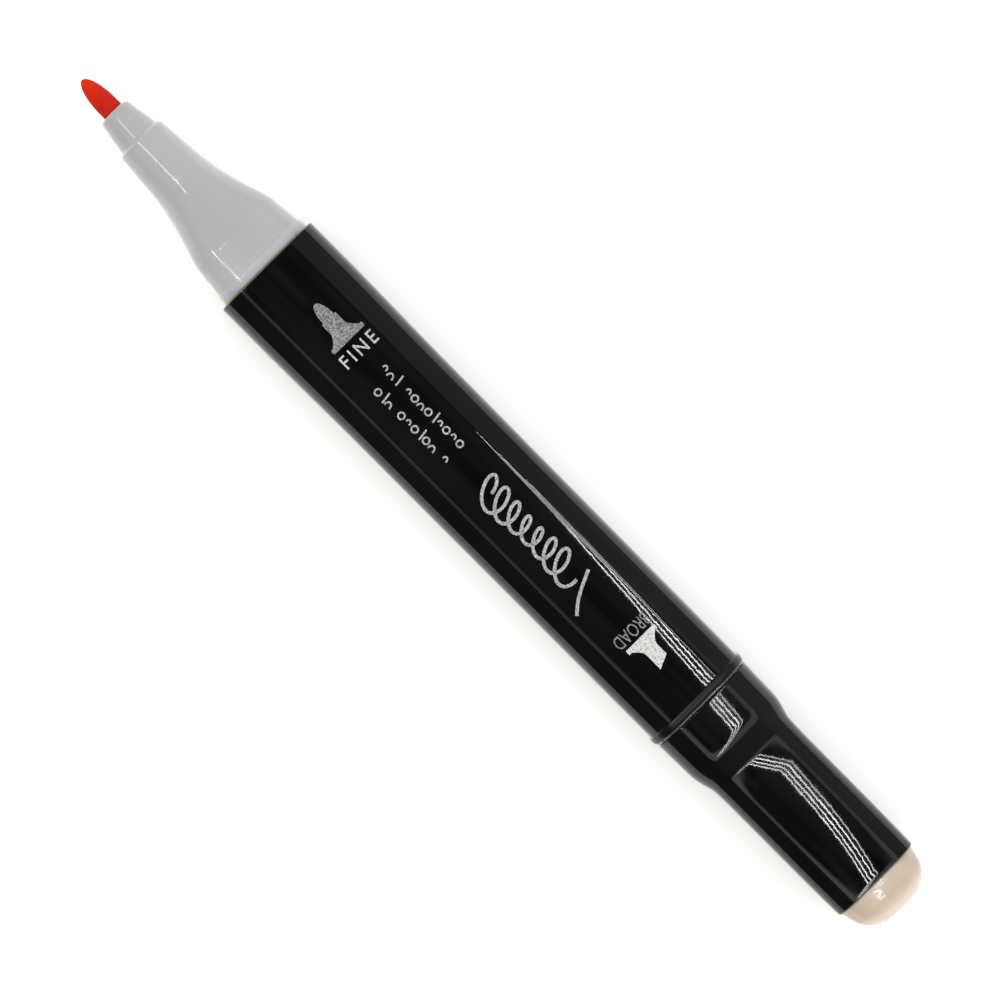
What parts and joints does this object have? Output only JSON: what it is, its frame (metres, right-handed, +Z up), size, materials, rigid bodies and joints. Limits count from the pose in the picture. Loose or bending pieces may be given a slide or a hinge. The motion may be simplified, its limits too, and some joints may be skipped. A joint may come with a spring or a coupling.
{
  "type": "felt tip marker",
  "caption": "Twin-tip art marker with a rounded-square black body: a bare fine bullet nib at one end and a capped broad chisel nib at the other.",
  "frame": {"origin": "on the surface that the marker lies on, under the middle of its length", "axes": "+X along the marker from the fine nib to the capped broad end, +Z up out of the printed flat face, +Y across"},
  "size_m": [0.1432, 0.0154, 0.0154],
  "materials": {
    "black_gloss": "polished moulded black plastic",
    "smoky_plastic": "translucent smoky grey moulded plastic, satin",
    "beige_plastic": "translucent beige moulded plastic, satin",
    "liner_plastic": "soft natural polyethylene",
    "inked_fibre": "porous fibre soaked with red-orange ink",
    "reservoir_fibre": "loose bonded fibre soaked with ink",
    "clear_film": "clear thin film",
    "silver_foil": "hot-stamped silver foil, slightly grainy"
  },
  "bodies": {
    "barrel": {"barrel": "black_gloss", "reservoir_core": "reservoir_fibre", "reservoir_wrap": "clear_film", "fine_holder": "smoky_plastic", "broad_holder": "smoky_plastic", "broad_nib": "inked_fibre"},
    "fine_nib": {"fine_nib": "inked_fibre"},
    "cap": {"cap_shell": "black_gloss", "cap_seal_liner": "liner_plastic", "cap_end_plug": "beige_plastic"}
  },
  "joints": [
    {"name": "cap_pull", "type": "slide", "parent": "barrel", "child": "cap", "axis": [1, 0, 0], "range_m": [0, 0.04]},
    {"name": "nib_pull", "type": "slide", "parent": "barrel", "child": "fine_nib", "axis": [-1, 0, 0], "range_m": [0, 0.034]}
  ]
}
